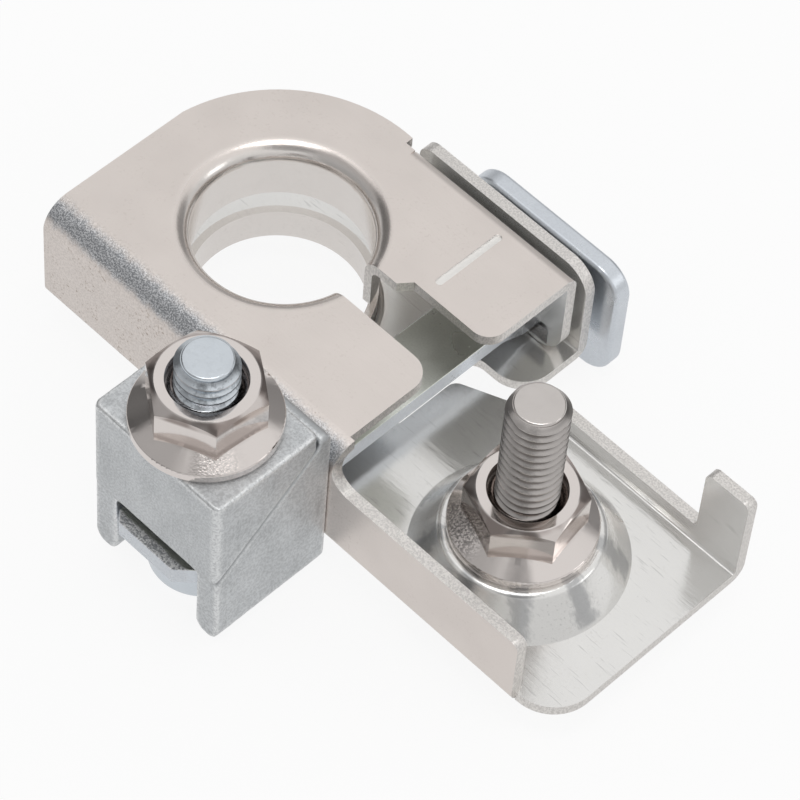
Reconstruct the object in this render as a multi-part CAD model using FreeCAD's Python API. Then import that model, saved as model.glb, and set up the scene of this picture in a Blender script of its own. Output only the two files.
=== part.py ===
import FreeCAD, Part
import math
import os

V = FreeCAD.Vector

# Clamp body sheet
sheet = 1.2
body_height = 12.8
bore_radius = 8.6
ring_radius = 16.1
rear_edge = 15.95
fold_face = 15.4
top_fold_radius = 3.0
bottom_fold_radius = 1.4
fold_end = 22.3
arm_a_end = 21.7
arm_a_corner = 2.5
arm_b_end = 22.8
arm_b_side = 15.8
arm_b_start = 2.1
arm_b_corner = 2.0
slot_a_edge = 1.8
slot_b_edge = 2.8
slot_wide_edge = 4.1
slot_wide_from = 13.2
relief_width = 1.2
relief_depth = 0.6

# Collars round the post bore
collar_roll = 1.8
collar_wall = 0.9
collar_depth = 6.2
burr_height = 2.4
burr_wall = 0.8
burr_fillet = 0.7

# Flanges outside arm B
inner_bend_radius = 1.4
inner_flange_clearance = 0.1
inner_flange_corner = 3.0
flange_gap = 0.8
outer_flange_drop = 0.6
outer_flange_corner = 3.0
outer_flange_start = 1.5
outer_flange_end = 23.5

# Cut-out in the bottom plate and lower edge of arm B
floor_rear = 18.1
arm_b_floor_edge = 9.1
arm_b_floor_corner = 3.5

# Coined mark on arm B
mark_x = 14.7
mark_y = 9.7
mark_length = 8.4
mark_width = 0.8
mark_depth = 0.15

# Tray for the cable lug
tray_end = 50.7
tray_wall_end = 46.0
tray_wall_height = 9.1
tray_wall_fillet = 2.4
tray_front_overhang = 0.8
tray_front_corner = 4.5
right_wall_face = 10.2
right_wall_start = 28.2
right_wall_height = 3.3
right_fold_radius = 1.6
tab_width = 5.2
tab_height = 11.6
tab_corner = 0.8

# Raised seat round the terminal bolt
seat_inset = 15.1
terminal_x = tray_end - seat_inset
terminal_y = -3.75
seat_height = 5.2
seat_radius = 7.6
seat_foot_radius = 10.3
seat_edge = 0.8

# Wedge pair beside the fold
bolt_x = 14.3
wedge_angle = 38.0
wedge_width = 16.0
wedge_low_edge = 6.2
wedge_thin_side = 2.2
upper_outer_face = 29.3
upper_edge_radius = 0.6
wedge_gap = 0.05
lower_lip = 1.4
lip_gap = 0.2
lip_top_drop = 1.3
lower_outer_recess = 0.3
leg_width = 2.7
leg_bottom = -2.9
leg_corner = 1.25
bolt_hole_clearance = 0.3
channel_headroom = 1.5

# Draw strap and its head
strap_thickness = 2.0
strap_low = 2.1
strap_rise = 1.3
strap_end_width = 10.2
strap_end_overhang = 0.45
strap_end_chamfer = 2.2
strap_end_small_chamfer = 1.0
strap_neck_width = 6.4
strap_x = 15.9
strap_bend = 2.8
strap_bend_radius = 2.2
strap_slot_side = 0.2
strap_slot_height = 0.3
strap_travel = 0.8
strap_travel_spare = 0.1
head_width = 19.4
head_height = 14.6
head_centre = 4.0
head_thickness = 2.0
head_corner = 3.2
head_edge = 0.45

# Screws and nuts, nominal size M6
thread_radius = 3.0
thread_pitch = 1.0
neck_clearance = 0.1
clamp_bolt_top = 27.0
clamp_bolt_head_radius = 5.15
clamp_bolt_head_edge = 0.9
clamp_bolt_head_height = 5.2
terminal_bolt_top = 24.0
terminal_head_radius = 5.0
terminal_head_height = 3.4
tip_radius = 2.35
tip_length = 0.9
nut_height = 6.0
nut_across_flats = 10.0
nut_flange_radius = 7.0
nut_flange_edge = 1.1
nut_flange_slope = 28.0
nut_chamfer = 0.7
nut_mouth_radius = 3.75
nut_bore_clearance = 0.05
free_thread_gap = 0.25
clamp_nut_turn = 25.0
terminal_nut_turn = -20.0

# Levels and edges worked out from the sizes above
top_under = body_height - sheet
fold_inner = fold_face - sheet
top_fold_line = fold_face - top_fold_radius
bottom_fold_line = fold_face - bottom_fold_radius
outer_flange_inner = arm_b_side + flange_gap
outer_flange_face = outer_flange_inner + sheet
outer_flange_top = body_height - outer_flange_drop
outer_bend_line = outer_flange_face - bottom_fold_radius
strap_high = strap_low + strap_rise
strap_left = strap_x - strap_neck_width / 2
strap_right = strap_x + strap_neck_width / 2
strap_head_face = outer_flange_face + strap_travel + strap_travel_spare
strap_end = upper_outer_face + strap_end_overhang
slope = math.tan(math.radians(wedge_angle))
wedge_left = bolt_x - wedge_width / 2
wedge_right = bolt_x + wedge_width / 2
lip_face = fold_face + lower_lip
upper_inner_face = lip_face + lip_gap
upper_top = wedge_low_edge + slope * (upper_outer_face - upper_inner_face) + wedge_thin_side
lip_top = upper_top - lip_top_drop
bolt_y = -(upper_outer_face + upper_inner_face) / 2
lower_outer_face = upper_outer_face - lower_outer_recess
pitch_radius = thread_radius - 0.3248 * thread_pitch
bolt_hole_radius = thread_radius + bolt_hole_clearance


def rounded_wire(corners, place):
    """Closed outline through corners (u, v) or (u, v, radius), put in space by place(u, v)."""
    ends = []
    count = len(corners)
    for i in range(count):
        u, v = corners[i][0], corners[i][1]
        radius = corners[i][2] if len(corners[i]) > 2 else 0.0
        if radius <= 0:
            ends.append(((u, v), None, (u, v)))
            continue
        before, after = corners[i - 1], corners[(i + 1) % count]
        a = V(before[0] - u, before[1] - v, 0).normalize()
        b = V(after[0] - u, after[1] - v, 0).normalize()
        half = a.getAngle(b) / 2
        run = radius / math.tan(half)
        middle = (a + b).normalize() * (radius / math.sin(half) - radius)
        start = (u + a.x * run, v + a.y * run)
        finish = (u + b.x * run, v + b.y * run)
        ends.append((start, (u + middle.x, v + middle.y), finish))
    edges = []
    for i in range(count):
        start, middle, finish = ends[i]
        if middle:
            edges.append(Part.Arc(place(*start), place(*middle), place(*finish)).toShape())
        nxt = ends[(i + 1) % count][0]
        if math.hypot(nxt[0] - finish[0], nxt[1] - finish[1]) > 1e-6:
            edges.append(Part.makeLine(place(*finish), place(*nxt)))
    return Part.Wire(edges)


def plan(corners, low, high):
    """Outline in X and Y, raised from low to high."""
    wire = rounded_wire(corners, lambda x, y: V(x, y, low))
    return Part.Face(wire).extrude(V(0, 0, high - low))


def side(corners, low, high):
    """Outline in Y and Z, run along X from low to high."""
    wire = rounded_wire(corners, lambda y, z: V(low, y, z))
    return Part.Face(wire).extrude(V(high - low, 0, 0))


def front(corners, low, high):
    """Outline in X and Z, run along Y from low to high."""
    wire = rounded_wire(corners, lambda x, z: V(x, low, z))
    return Part.Face(wire).extrude(V(0, high - low, 0))


def box(x0, x1, y0, y1, z0, z1):
    return Part.makeBox(x1 - x0, y1 - y0, z1 - z0, V(x0, y0, z0))


def turned(corners, x=0.0, y=0.0):
    """Solid of revolution from an outline in radius and height."""
    wire = rounded_wire(corners, lambda r, z: V(x + r, y, z))
    return Part.Face(wire).revolve(V(x, y, 0), V(0, 0, 1), 360)


def rod(radius, low, high, x=0.0, y=0.0):
    return Part.makeCylinder(radius, high - low, V(x, y, low))


def bend(centre_y, centre_z, outer, x0, x1, y_side, z_side):
    """Quarter of a rolled sheet bend along X, in the quadrant given by the two signs."""
    centre = V(x0, centre_y, centre_z)
    along = V(1, 0, 0)
    ring = Part.makeCylinder(outer, x1 - x0, centre, along)
    ring = ring.cut(Part.makeCylinder(outer - sheet, x1 - x0, centre, along))
    y0, y1 = sorted((centre_y, centre_y + y_side * outer))
    z0, z1 = sorted((centre_z, centre_z + z_side * outer))
    return ring.common(box(x0, x1, y0, y1, z0, z1))


def fuse(shapes):
    return shapes[0].multiFuse(shapes[1:]).removeSplitter()


def ring_plate(low, high):
    """Quarter of the ring between the rear edge and the start of arm B."""
    disc = rod(ring_radius, low, high)
    return disc.common(box(-rear_edge, arm_b_start, 0, ring_radius, low, high))


def top_plate():
    low, high = top_under, body_height
    arm_a = plan([(-rear_edge, -top_fold_line), (arm_a_end, -top_fold_line),
                  (arm_a_end, -slot_a_edge, arm_a_corner), (0, -slot_a_edge), (0, 0),
                  (-rear_edge, 0)], low, high)
    bend_line = arm_b_side - inner_bend_radius
    arm_b = plan([(0, slot_b_edge), (slot_wide_from - 1, slot_b_edge),
                  (slot_wide_from, slot_wide_edge),
                  (arm_b_end, slot_wide_edge, arm_b_corner), (arm_b_end, bend_line),
                  (0, bend_line)], low, high)
    middle = box(-rear_edge, 0, 0, bend_line, low, high).common(rod(ring_radius, low, high))
    ring = ring_plate(low, high)
    plate = fuse([arm_a, arm_b, middle, ring])
    relief = box(arm_b_start - relief_width, arm_b_start, arm_b_side - relief_depth,
                 ring_radius + 1, low, high)
    return plate.cut(relief)


def bottom_plate():
    low, high = 0.0, sheet
    arm_a = plan([(-rear_edge, -bottom_fold_line), (floor_rear + 1, -bottom_fold_line),
                  (floor_rear + 1, -slot_a_edge), (0, -slot_a_edge), (0, 0),
                  (-rear_edge, 0)], low, high)
    arm_b = plan([(0, slot_b_edge), (slot_wide_from, slot_b_edge, 1.0),
                  (floor_rear - 0.5, arm_b_floor_edge, 2.0),
                  (outer_flange_end, arm_b_floor_edge, arm_b_floor_corner),
                  (outer_flange_end, outer_bend_line), (outer_flange_start, outer_bend_line),
                  (outer_flange_start, arm_b_side), (0, arm_b_side)], low, high)
    middle = box(-rear_edge, 0, 0, arm_b_side, low, high).common(rod(ring_radius, low, high))
    return fuse([arm_a, arm_b, middle, ring_plate(low, high), tray_floor()])


def tray_floor():
    """Floor beside the ring, with its curved rear edge and rounded front corner."""
    bend_line = right_wall_face - right_fold_radius
    overhang = -(bottom_fold_line + tray_front_overhang)
    return plan([(floor_rear, -bottom_fold_line), (tray_wall_end, -bottom_fold_line),
                 (tray_wall_end, overhang), (tray_end, overhang, tray_front_corner),
                 (tray_end, bend_line), (right_wall_start, bend_line),
                 (right_wall_start - 5.0, bend_line - 1.0, 3.0),
                 (floor_rear, bend_line - 3.2, 1.2)], 0.0, sheet)


def fold_wall():
    """Rolled fold, wall and lower fold in one sheet, cut to its side outline."""
    upper = bend(-top_fold_line, body_height - top_fold_radius, top_fold_radius,
                 -rear_edge, tray_wall_end, -1, 1)
    lower = bend(-bottom_fold_line, bottom_fold_radius, bottom_fold_radius,
                 -rear_edge, tray_wall_end, -1, -1)
    wall = box(-rear_edge, tray_wall_end, -fold_face, -fold_inner,
               bottom_fold_radius, body_height - top_fold_radius)
    outline = front([(-rear_edge, 0), (tray_wall_end, 0),
                     (tray_wall_end, tray_wall_height, 0.8),
                     (fold_end, tray_wall_height, tray_wall_fillet),
                     (fold_end, body_height), (-rear_edge, body_height)],
                    -fold_face, -top_fold_line)
    return fuse([upper, wall, lower]).common(outline)


def right_wall():
    """Low wall on the far side of the tray, with the upright tab at its end."""
    face, inner = right_wall_face, right_wall_face - sheet
    lower = bend(face - right_fold_radius, right_fold_radius, right_fold_radius,
                 right_wall_start, tray_end, 1, -1)
    tab_start = tray_end - tab_width
    wall = front([(right_wall_start, right_fold_radius), (tray_end, right_fold_radius),
                  (tray_end, tab_height, tab_corner), (tab_start, tab_height, tab_corner),
                  (tab_start, right_wall_height, 0.4), (right_wall_start, right_wall_height, 0.6)],
                 inner, face)
    return fuse([lower, wall])


def inner_flange():
    """Flange folded down from the top plate of arm B."""
    radius = inner_bend_radius
    centre_y, centre_z = arm_b_side - radius, body_height - radius
    roll = bend(centre_y, centre_z, radius, arm_b_start, arm_b_end, 1, 1)
    low = sheet + inner_flange_clearance
    wall = front([(arm_b_start, low, 2.0), (arm_b_end, low, inner_flange_corner),
                  (arm_b_end, centre_z), (arm_b_start, centre_z)],
                 arm_b_side - sheet, arm_b_side)
    return fuse([roll, wall])


def outer_flange():
    """Flange folded up from the bottom plate of arm B."""
    radius = bottom_fold_radius
    roll = bend(outer_bend_line, radius, radius, outer_flange_start, outer_flange_end, 1, -1)
    wall = front([(outer_flange_start, radius), (outer_flange_end, radius),
                  (outer_flange_end, outer_flange_top, outer_flange_corner),
                  (outer_flange_start, outer_flange_top, outer_flange_corner / 2)],
                 outer_flange_inner, outer_flange_face)
    return fuse([roll, wall])


def top_collar():
    """Collar drawn down from the top plate, rolled at its mouth."""
    rim = body_height - collar_depth
    outer = bore_radius + collar_roll
    shoulder = bore_radius + collar_wall
    under = outer - shoulder
    corners = [(bore_radius, rim), (shoulder, rim), (shoulder, top_under, under),
               (outer, top_under), (outer, body_height), (bore_radius, body_height, collar_roll)]
    return turned(corners)


def bottom_burr():
    """Collar drawn up from the bottom plate, with a thin sheared rim."""
    rim = sheet + burr_height
    shoulder = bore_radius + burr_wall
    outer = shoulder + burr_fillet
    corners = [(bore_radius, 0), (outer, 0), (outer, sheet), (shoulder, sheet, burr_fillet),
               (shoulder, rim), (bore_radius, rim)]
    return turned(corners)


def terminal_seat():
    """Raised cone pressed up from the tray floor."""
    top, foot = seat_radius, seat_foot_radius
    rise = seat_height - sheet
    inset = sheet / math.sin(math.atan2(rise, foot - top)) - sheet * (foot - top) / rise
    return turned([(0, seat_height), (top, seat_height, seat_edge), (foot, sheet), (foot, 0),
                   (foot - inset, 0), (top - inset + 0.2, seat_height - sheet),
                   (0, seat_height - sheet)], terminal_x, terminal_y)


def slot_cuts():
    """Split between the arms, through plates and collars, above and below mid height."""
    mid = body_height / 2
    upper = plan([(0, -slot_a_edge), (slot_wide_from, -slot_a_edge), (slot_wide_from, slot_b_edge),
                  (0, slot_b_edge)], mid, body_height)
    lower = upper.copy()
    lower.translate(V(0, 0, -mid))
    return upper, lower


def strap_windows():
    """Window in the fold wall and slots in both flanges for the draw strap."""
    low = strap_low - strap_slot_height
    high = strap_low + strap_thickness + strap_slot_height
    half = strap_end_width / 2 + strap_slot_side
    wall = box(bolt_x - half, bolt_x + half, -fold_face, -fold_inner, low, high)
    flanges = box(strap_x - half, strap_x + half, arm_b_side - sheet, outer_flange_face, low, high)
    return wall, flanges


def clamp_body():
    seat_hole = rod(seat_foot_radius - sheet / 2, 0, sheet, terminal_x, terminal_y)
    top_hole = rod(bore_radius + collar_roll, top_under, body_height)
    burr_hole = rod(bore_radius + burr_wall + burr_fillet, 0, sheet)
    top = top_plate().cut(top_hole)
    bottom = bottom_plate().cut(burr_hole).cut(seat_hole)
    plates = fuse([top, bottom, fold_wall(), right_wall(), inner_flange(), outer_flange()])
    body = fuse([plates, top_collar(), bottom_burr(), terminal_seat()])
    for cut in slot_cuts():
        body = body.cut(cut)
    for cut in strap_windows():
        body = body.cut(cut)
    half = thread_radius + neck_clearance
    body = body.cut(box(terminal_x - half, terminal_x + half, terminal_y - half, terminal_y + half,
                        seat_height - 2 * sheet, seat_height + 1))
    end = mark_width / 2
    groove = plan([(mark_x - end, mark_y - mark_length / 2, end * 0.98),
                   (mark_x + end, mark_y - mark_length / 2, end * 0.98),
                   (mark_x + end, mark_y + mark_length / 2, end * 0.98),
                   (mark_x - end, mark_y + mark_length / 2, end * 0.98)],
                  body_height - mark_depth, body_height + 1)
    return body.cut(groove)


def incline(distance):
    """Height of the sliding plane at a distance outward from the bore axis."""
    return wedge_low_edge + slope * (upper_outer_face - distance)


def lower_wedge():
    profile = side([(-fold_face, leg_bottom, leg_corner), (-fold_face, lip_top, 0.6),
                    (-lip_face, lip_top, 0.4), (-lip_face, incline(lip_face) - wedge_gap),
                    (-lower_outer_face, incline(lower_outer_face) - wedge_gap),
                    (-lower_outer_face, leg_bottom, leg_corner)], wedge_left, wedge_right)
    left_leg, right_leg = wedge_left + leg_width, wedge_right - leg_width
    roof = strap_low + strap_thickness + channel_headroom
    yoke = front([(wedge_left, leg_bottom, leg_corner), (left_leg, leg_bottom, leg_corner),
                  (left_leg, roof, 0.6), (right_leg, roof, 0.6),
                  (right_leg, leg_bottom, leg_corner), (wedge_right, leg_bottom, leg_corner),
                  (wedge_right, lip_top, 0.6), (wedge_left, lip_top, 0.6)],
                 -lower_outer_face - 1, -fold_face + 1)
    radius = bolt_hole_radius
    slot = box(bolt_x - radius, bolt_x + radius, bolt_y - strap_travel, bolt_y, 0, upper_top)
    slot = slot.fuse([rod(radius, 0, upper_top, bolt_x, bolt_y),
                      rod(radius, 0, upper_top, bolt_x, bolt_y - strap_travel)])
    return profile.common(yoke).cut(slot)


def upper_wedge():
    profile = side([(-upper_outer_face, incline(upper_outer_face)),
                    (-upper_inner_face, incline(upper_inner_face)),
                    (-upper_inner_face, upper_top, 0.3), (-upper_outer_face, upper_top, 0.3)],
                   wedge_left, wedge_right)
    radius = upper_edge_radius
    rounded = plan([(wedge_left, -upper_outer_face, radius), (wedge_right, -upper_outer_face, radius),
                    (wedge_right, -upper_inner_face, radius), (wedge_left, -upper_inner_face, radius)],
                   0, upper_top)
    hole = rod(bolt_hole_radius, 0, upper_top, bolt_x, bolt_y)
    return profile.common(rounded).cut(hole)


def strap_profile():
    """Side outline of the strap: both ends low, the middle raised by two easy bends."""
    low, high, radius = strap_low, strap_high, strap_bend_radius
    near, far = -fold_inner + 1.0, arm_b_side - sheet - 1.0
    bottom = [(-strap_end, low), (near, low, radius), (near + strap_bend, high, radius),
              (far - strap_bend, high, radius), (far, low, radius), (strap_head_face + 0.5, low)]
    top = [(y, z + strap_thickness) + tuple(rest) for y, z, *rest in reversed(bottom)]
    return bottom + top


def draw_strap():
    half = strap_end_width / 2
    left, right = bolt_x - half, bolt_x + half
    cut, small = strap_end_chamfer, strap_end_small_chamfer
    shoulder = -fold_inner + strap_bend
    outline = plan([(left + small, -strap_end), (right - cut, -strap_end), (right, -strap_end + cut),
                    (right, shoulder - 1.0, 0.3), (strap_right, shoulder, 0.5),
                    (strap_right, strap_head_face + 0.5), (strap_left, strap_head_face + 0.5),
                    (strap_left, shoulder + 2.0, 1.5), (left, shoulder - 1.5, 1.5),
                    (left, -strap_end + small)], 0, body_height)
    band = side(strap_profile(), left - 1, right + strap_neck_width).common(outline)
    head = front([(strap_x - head_width / 2, head_centre - head_height / 2, head_corner),
                  (strap_x + head_width / 2, head_centre - head_height / 2, head_corner),
                  (strap_x + head_width / 2, head_centre + head_height / 2, head_corner),
                  (strap_x - head_width / 2, head_centre + head_height / 2, head_corner)],
                 strap_head_face, strap_head_face + head_thickness)
    flat_faces = (strap_head_face, strap_head_face + head_thickness)
    rim = [e for e in head.Edges if min(abs(e.BoundBox.YMin - y) for y in flat_faces) < 1e-6
           and e.BoundBox.YLength < 1e-6]
    head = head.makeFillet(head_edge, rim)
    hole = thread_radius + neck_clearance
    square = box(bolt_x - hole, bolt_x + hole, bolt_y - hole, bolt_y + hole,
                 strap_low - 1, strap_high + strap_thickness)
    return fuse([band, head]).cut(square)


def shank(low, seat, high, x, y):
    """Shank at the pitch radius up through the nut, then at the nominal radius to the tip."""
    free = seat + nut_height + free_thread_gap
    return turned([(0, low), (pitch_radius, low), (pitch_radius, free), (thread_radius, free),
                   (thread_radius, high - tip_length), (tip_radius, high, 0.25), (0, high)], x, y)


def square_neck(low, high, x, y):
    return box(x - thread_radius, x + thread_radius, y - thread_radius, y + thread_radius, low, high)


def clamp_bolt():
    base = strap_low - clamp_bolt_head_height
    radius = clamp_bolt_head_radius
    head = turned([(0, strap_low), (radius, strap_low), (radius, base, clamp_bolt_head_edge),
                   (0, base)], bolt_x, bolt_y)
    neck = square_neck(strap_low - 0.2, strap_low + strap_thickness, bolt_x, bolt_y)
    stem = shank(strap_low - 0.2, upper_top, clamp_bolt_top, bolt_x, bolt_y)
    return fuse([head, neck, stem])


def terminal_bolt():
    under = seat_height - sheet
    base = under - terminal_head_height
    head = turned([(0, under), (terminal_head_radius, under), (terminal_head_radius, base, 0.8),
                   (0, base)], terminal_x, terminal_y)
    neck = square_neck(under - 0.2, seat_height - 0.2, terminal_x, terminal_y)
    stem = shank(under - 0.2, seat_height, terminal_bolt_top, terminal_x, terminal_y)
    return fuse([head, neck, stem])


def flange_nut(x, y, seat, turn):
    """Hexagon nut with a conical flange, chamfered crown and countersunk mouths."""
    apothem = nut_across_flats / 2
    corner = apothem / math.cos(math.radians(30))
    points = []
    for k in range(6):
        angle = math.radians(turn + 60 * k)
        points.append((x + corner * math.cos(angle), y + corner * math.sin(angle)))
    hexagon = plan(points, seat, seat + nut_height)
    crown = turned([(0, seat), (corner, seat), (corner, seat + nut_height - nut_chamfer),
                    (apothem - 0.35, seat + nut_height), (0, seat + nut_height)], x, y)
    rise = (nut_flange_radius - apothem + 0.3) * math.tan(math.radians(nut_flange_slope))
    top = seat + nut_flange_edge
    flange = turned([(0, seat), (nut_flange_radius - 0.25, seat), (nut_flange_radius, seat + 0.3),
                     (nut_flange_radius, top, 0.2), (apothem - 0.3, top + rise), (0, top + rise)], x, y)
    bore = pitch_radius + nut_bore_clearance
    depth = nut_mouth_radius - bore
    hole = turned([(0, seat - 1), (nut_mouth_radius, seat - 1), (nut_mouth_radius, seat),
                   (bore, seat + depth), (bore, seat + nut_height - depth),
                   (nut_mouth_radius, seat + nut_height), (nut_mouth_radius, seat + nut_height + 1),
                   (0, seat + nut_height + 1)], x, y)
    return fuse([hexagon.common(crown), flange]).cut(hole)


def main():
    os.makedirs("parts", exist_ok=True)
    pieces = {
        "clamp_body": clamp_body(),
        "draw_strap": draw_strap(),
        "lower_wedge": lower_wedge(),
        "upper_wedge": upper_wedge(),
        "clamp_bolt": clamp_bolt(),
        "clamp_nut": flange_nut(bolt_x, bolt_y, upper_top, clamp_nut_turn),
        "terminal_bolt": terminal_bolt(),
        "terminal_nut": flange_nut(terminal_x, terminal_y, seat_height, terminal_nut_turn),
    }
    for node, shape in pieces.items():
        solids = len(shape.Solids)
        print(node, "valid", shape.isValid(), "solids", solids, "volume", round(shape.Volume, 1))
        shape.exportStep("parts/" + node + ".step")


main()
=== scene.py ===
import bpy
import bmesh
import math
import numpy
from mathutils import Matrix, Vector, noise


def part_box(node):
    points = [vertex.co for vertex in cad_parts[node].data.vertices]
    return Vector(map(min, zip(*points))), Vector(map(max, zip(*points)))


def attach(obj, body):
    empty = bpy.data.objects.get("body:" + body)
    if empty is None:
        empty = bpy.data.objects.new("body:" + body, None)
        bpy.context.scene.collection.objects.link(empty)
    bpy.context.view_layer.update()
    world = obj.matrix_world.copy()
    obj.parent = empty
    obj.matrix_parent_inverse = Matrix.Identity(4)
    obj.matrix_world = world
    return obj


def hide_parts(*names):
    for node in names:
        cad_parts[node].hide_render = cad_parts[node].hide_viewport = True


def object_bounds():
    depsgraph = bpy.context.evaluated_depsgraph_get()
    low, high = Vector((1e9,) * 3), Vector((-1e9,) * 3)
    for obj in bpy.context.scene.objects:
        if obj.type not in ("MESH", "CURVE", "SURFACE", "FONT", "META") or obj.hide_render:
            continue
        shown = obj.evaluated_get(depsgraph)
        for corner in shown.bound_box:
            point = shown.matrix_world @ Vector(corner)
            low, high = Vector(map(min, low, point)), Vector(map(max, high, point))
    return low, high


bl_info = {
    "name": "Battery terminal clamp",
    "version": (1, 0, 0),
    "blender": (4, 5, 0),
    "location": "3D View > Sidebar > Clamp",
    "description": "Folded terminal clamp with a wedge pair, draw strap, nuts and threaded bolts",
    "category": "Object",
}

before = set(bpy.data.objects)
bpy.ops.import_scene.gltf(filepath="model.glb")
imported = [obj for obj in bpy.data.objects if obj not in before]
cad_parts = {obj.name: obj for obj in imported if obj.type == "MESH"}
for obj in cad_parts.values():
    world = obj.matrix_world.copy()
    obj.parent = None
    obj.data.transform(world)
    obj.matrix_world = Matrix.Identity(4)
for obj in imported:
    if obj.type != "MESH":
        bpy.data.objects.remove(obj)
CAD_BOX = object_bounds()
MM = 0.001


def middle_of(node):
    low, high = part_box(node)
    return (low + high) / 2


# Levels and axes that the frame gives
SHEET_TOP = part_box("clamp_body")[1].z
SHEET_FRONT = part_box("clamp_body")[0].y
CLAMP_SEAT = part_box("clamp_nut")[0].z
TERMINAL_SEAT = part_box("terminal_nut")[0].z
FLOOR_LEVEL = CAD_BOX[0][2]
TIP_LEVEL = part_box("clamp_bolt")[1].z
STUD_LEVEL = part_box("terminal_bolt")[1].z
POST_AXIS = Vector((0, 0))
CLAMP_AXIS = middle_of("clamp_nut").xy
TERMINAL_AXIS = middle_of("terminal_nut").xy

# Zones of the sheet's finish: boxes, or where a soft border starts and ends
BEND_BOX = ((None, None, 9.6 * MM), (24 * MM, -12.7 * MM, None))
TRAY_BOX = ((21.5 * MM, -14.3 * MM, None), (None, 9.4 * MM, 5.6 * MM))
OUTER_FACE = (-15.3 * MM, -15.0 * MM)
WALL_END = (19 * MM, 27 * MM)
WALL_TOP = (10.0 * MM, 10.8 * MM)
TOP_SKIN = (12.2 * MM, 12.6 * MM)
COLLAR_RIM = (9.6 * MM, 10.8 * MM)
MARK_MIDDLE = Vector((14.7 * MM, 9.7 * MM, SHEET_TOP))
MARK_HALF = Vector((0.5, 4.3, 0.4)) * MM
MARK_DEPTH = (SHEET_TOP - 0.11 * MM, SHEET_TOP - 0.03 * MM)
SEAT_RIM = (11.3 * MM, 11.9 * MM)
SEAT_FOOT = (1.30 * MM, 1.70 * MM)
SEAT_REFLECTION_STREAKS = 9.0

# The stretched fold and its painted dark reflection: axis (y, z), angles in radians, length the
# grain covers
FOLD_AXIS = (SHEET_FRONT + 3.0 * MM, SHEET_TOP - 3.0 * MM)
FOLD_START = (0.06, 0.50)
FOLD_STOP = (0.86, 1.22)
FOLD_END = (21 * MM, 24 * MM)

# Other finishes
STRAP_SHEARED = (-28.9 * MM, -28.6 * MM)
BLADE_END = 15 * MM
WEDGE_SLOPE = math.tan(math.radians(38))
WEDGE_FOOT = (-29.3 * MM, 6.2 * MM)
# Distances from the axis over which the painted shade in the thread's grooves fades
THREAD_DEPTHS = (2.38 * MM, 2.86 * MM)

# Edges that turn by more than these angles, in degrees, are rounded or stay sharp
SHEET_SHARP = 32
NUT_SHARP = 24
THREAD_SHARP = 38

# Bolts: height of the head, rounding of its foot and its rim, the thread's start above the nut's
# seat and its end below the tip, and the tip's length, chamfer and rounding
CLAMP_HEAD, CLAMP_HEAD_ROUND, CLAMP_HEAD_RIM = 5.2 * MM, 0.9 * MM, 0.2 * MM
TERMINAL_HEAD, TERMINAL_HEAD_ROUND = 3.4 * MM, 0.8 * MM
THREAD_START, THREAD_STOP = 1.0 * MM, 0.15 * MM
TIP_LENGTH, TIP_CHAMFER, TIP_ROUND = 0.9 * MM, 0.35 * MM, 0.22 * MM

# The legs' front bottom edge: rounding of the solid, rounding of the photograph, reach inward
TOE_CAD, TOE_SEEN, TOE_REACH = 1.25 * MM, 0.3 * MM, 1.5 * MM

# Light tent: its brightness at the foot and what it gains to the top
TENT_FOOT, TENT_RISE = 0.72, 0.28

# Darker gaps and one brighter window in the light tent: direction, cosines of the angle from it
# where the change starts and where it is full, and the share of light that is missing
TENT_GAPS = (
    ((-0.40, -0.76, 0.51), 0.60, 0.88, 0.46),
    ((-0.86, 0.02, 0.51), 0.89, 0.96, 0.78),
    ((0.0, 0.94, 0.34), 0.91, 0.97, 0.60),
    ((-0.62, 0.72, 0.31), 0.94, 0.98, 0.45),
    ((-0.45, -0.20, 0.87), 0.965, 0.985, -0.45),
    ((0.388, -0.446, 0.807), 0.935, 0.978, 0.60),
)

# Camera: turn, tilt and roll in degrees, place in metres, lens in millimetres
VIEW_ANGLES = (131.05, 53.79, 5.33)
VIEW_PLACE = Vector((0.1623, -0.1676, 0.3050))
VIEW_LENS = 181.65

# What the softboxes point at, and the sockets of the colour mix node
LAMP_AIM = Vector((0.015, -0.003, 0.006))
MIX_FACTOR, MIX_A, MIX_B, MIX_RESULT = 0, 6, 7, 2


class ClampSizes(bpy.types.PropertyGroup):
    """Sizes of the clamp's finish and threads."""

    sheet: bpy.props.FloatProperty(
        name="Sheet thickness", description="Thickness of the folded sheet",
        default=1.2 * MM, unit="LENGTH")
    edge_round: bpy.props.FloatProperty(
        name="Sheet edge rounding", description="Rounding along punched sheet edges",
        default=0.18 * MM, unit="LENGTH")
    cast_grain: bpy.props.FloatProperty(
        name="Cast skin grain", description="Mesh size of the wedges' cast skin",
        default=0.15 * MM, unit="LENGTH")
    cast_wear: bpy.props.IntProperty(
        name="Cast edge wear", description="Smoothing steps that wear the wedges' edges round",
        default=9, min=0)
    cast_dents: bpy.props.FloatProperty(
        name="Cast skin dents", description="Depth of the soft dents in the wedges' skin",
        default=0.035 * MM, unit="LENGTH")
    nut_round: bpy.props.FloatProperty(
        name="Nut edge rounding", description="Rounding along the nuts' edges",
        default=0.12 * MM, unit="LENGTH")
    thread_radius: bpy.props.FloatProperty(
        name="Thread radius", description="Outer radius of both bolts' threads",
        default=2.96 * MM, unit="LENGTH")
    thread_pitch: bpy.props.FloatProperty(
        name="Thread pitch", description="Rise of the thread in one turn",
        default=1.0 * MM, unit="LENGTH")
    thread_depth: bpy.props.FloatProperty(
        name="Thread depth", description="Depth of the thread's groove",
        default=0.58 * MM, unit="LENGTH")


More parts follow.
